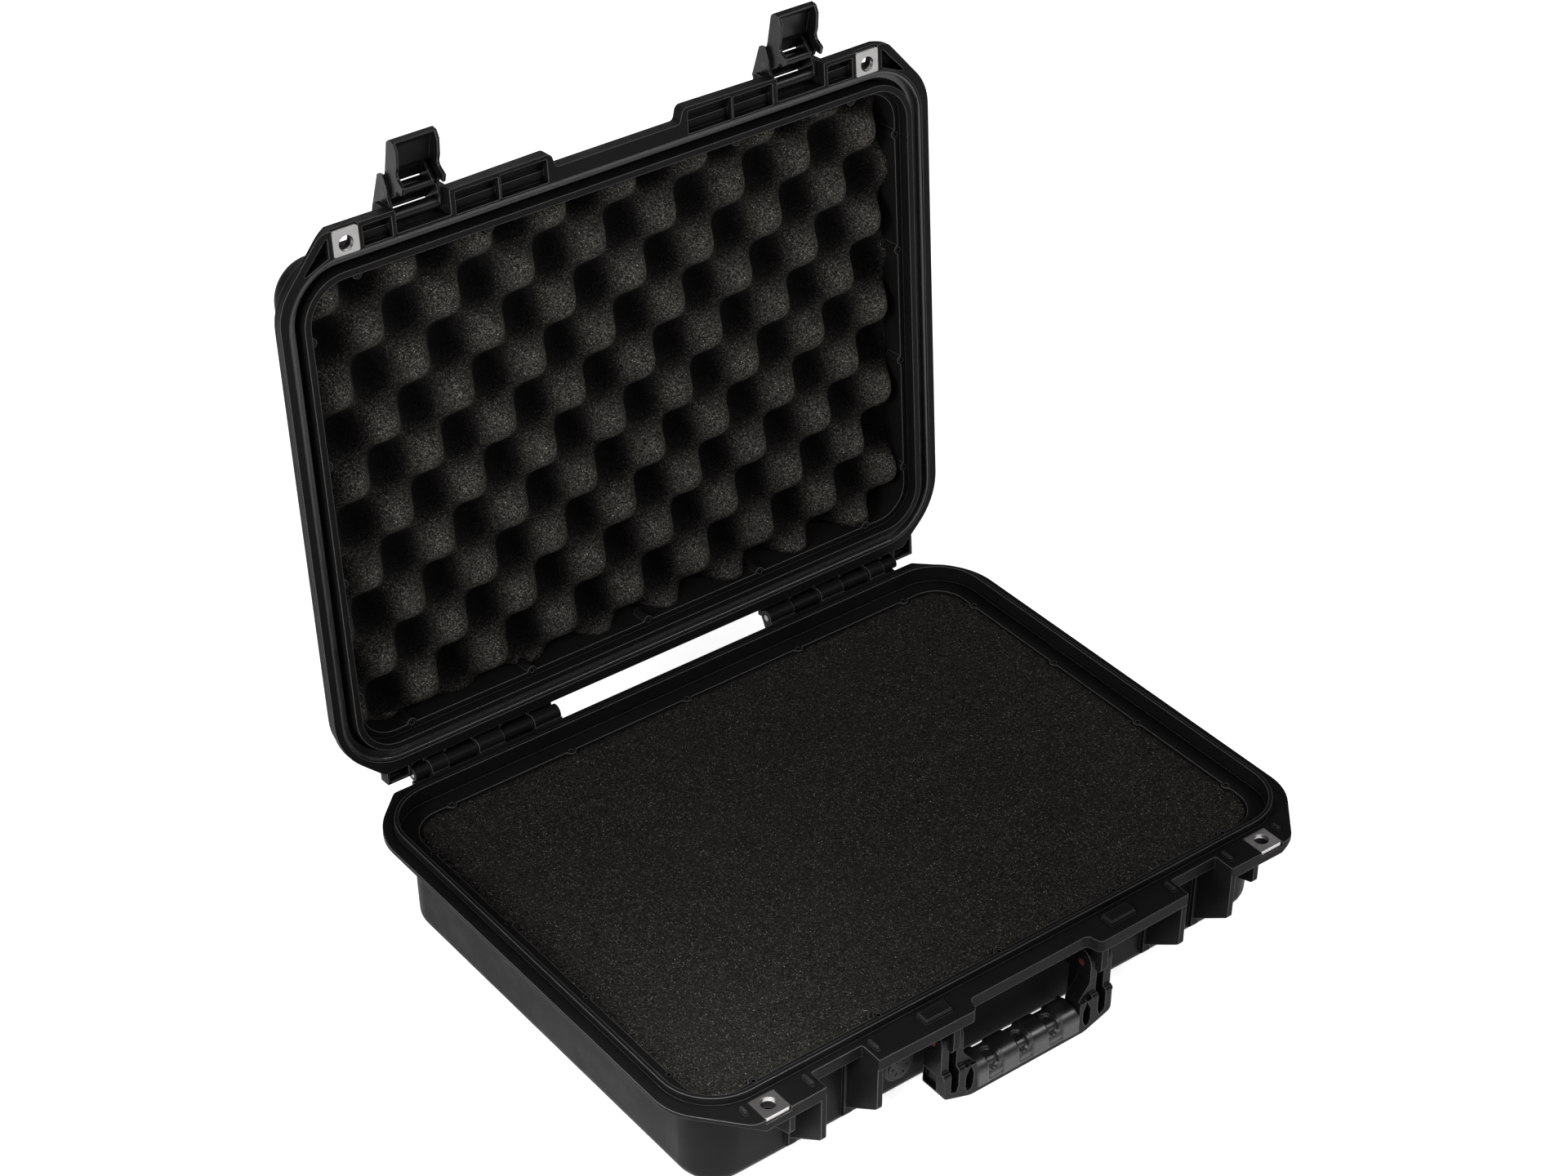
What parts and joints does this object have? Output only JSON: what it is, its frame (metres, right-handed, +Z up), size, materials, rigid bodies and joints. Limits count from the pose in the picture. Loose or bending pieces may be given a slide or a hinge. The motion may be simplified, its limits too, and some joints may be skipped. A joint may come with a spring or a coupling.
{
  "type": "hard equipment case",
  "caption": "Hinged hard case with foam in base and lid, front cam latches, folding carry handle, padlock plates and pressure valve.",
  "frame": {"origin": "centre of the base's flat bottom, midway between its sides and between its front and back walls", "axes": "+X to the right along the hinge line, -Y towards the handle and latches, +Z up out of the base"},
  "size_m": [0.452, 0.4314, 0.4659],
  "materials": {
    "shell": "matte",
    "latch": "satin",
    "handle": "satin",
    "valve": "satin",
    "plate": "satin",
    "pin": "satin",
    "grip": "matte",
    "gasket": "matte",
    "foam": "matte"
  },
  "bodies": {
    "base": {"base_shell": "shell", "base_foam": "foam", "base_foam_pad": "foam", "base_padlock_plate_left": "plate", "base_padlock_plate_right": "plate", "hinge_pin_left": "pin", "hinge_pin_right": "pin", "valve_body": "valve", "valve_cap": "valve", "valve_seal": "gasket", "valve_nut": "valve"},
    "lid": {"lid_shell": "shell", "lid_gasket": "gasket", "lid_foam": "foam", "lid_padlock_plate_left": "plate", "lid_padlock_plate_right": "plate", "latch_body_pin_left": "pin", "latch_body_pin_right": "pin"},
    "latch_left": {"latch_body_left": "latch", "latch_lever_pin_left": "pin"},
    "latch_right": {"latch_body_right": "latch", "latch_lever_pin_right": "pin"},
    "lever_left": {"latch_lever_left": "latch"},
    "lever_right": {"latch_lever_right": "latch"},
    "handle": {"handle_frame": "handle", "handle_grip": "grip", "handle_pin_left": "pin", "handle_pin_right": "pin"}
  },
  "joints": [
    {"name": "lid_hinge", "type": "hinge", "parent": "base", "child": "lid", "pos_m": [0, 0.178, 0.071], "axis": [1, 0, 0], "range_deg": [0, 94.4]},
    {"name": "handle_fold", "type": "hinge", "parent": "base", "child": "handle", "pos_m": [0, -0.1658, 0.044], "axis": [-1, 0, 0], "range_deg": [0, 95]},
    {"name": "latch_swing_left", "type": "hinge", "parent": "lid", "child": "latch_left", "pos_m": [-0.1305, 0.21567, 0.41853], "axis": [1, 0, 0], "range_deg": [0, 73.5]},
    {"name": "latch_lever_left", "type": "hinge", "parent": "latch_left", "child": "lever_left", "pos_m": [-0.1305, 0.22067, 0.43129], "axis": [-1, 0, 0], "range_deg": [0, 70]},
    {"name": "latch_swing_right", "type": "hinge", "parent": "lid", "child": "latch_right", "pos_m": [0.1305, 0.21567, 0.41853], "axis": [1, 0, 0], "range_deg": [0, 73.5]},
    {"name": "latch_lever_right", "type": "hinge", "parent": "latch_right", "child": "lever_right", "pos_m": [0.1305, 0.22067, 0.43129], "axis": [-1, 0, 0], "range_deg": [0, 70]}
  ]
}
